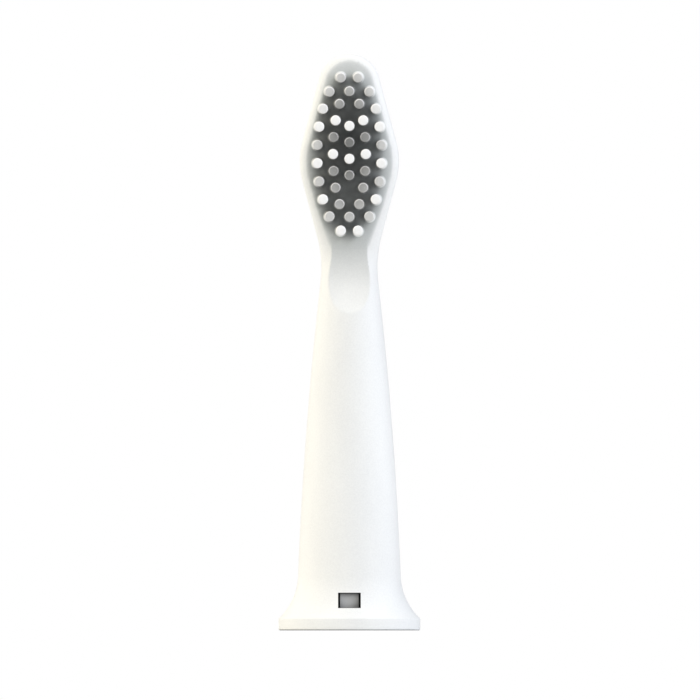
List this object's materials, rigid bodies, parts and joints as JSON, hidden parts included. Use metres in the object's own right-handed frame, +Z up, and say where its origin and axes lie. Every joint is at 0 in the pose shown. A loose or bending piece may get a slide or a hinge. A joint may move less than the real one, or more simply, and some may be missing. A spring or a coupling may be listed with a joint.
{
  "type": "electric toothbrush head",
  "caption": "Brush head for a sonic electric toothbrush: hollow tapered stem with flared base, narrow neck, flat head plate with a soft pad of round nubs, and a drive socket inside",
  "frame": {"origin": "centre of the underside of the base rim, on the centre line of the stem", "axes": "+Z up the centre line from the rim to the nose, -Y the way the nubs face, +X to the right seen from the front"},
  "size_m": [0.0184, 0.0184, 0.075],
  "materials": {
    "body_plastic": "white satin moulded plastic",
    "soft_nubs": "white smooth soft moulding, slightly glossy",
    "socket_plastic": "light grey stiff plastic, satin",
    "spring_steel": "bright stainless strip"
  },
  "bodies": {
    "root": {"brush_body": "body_plastic", "nub_pad": "soft_nubs", "drive_socket": "socket_plastic", "retaining_spring": "spring_steel"}
  },
  "joints": []
}
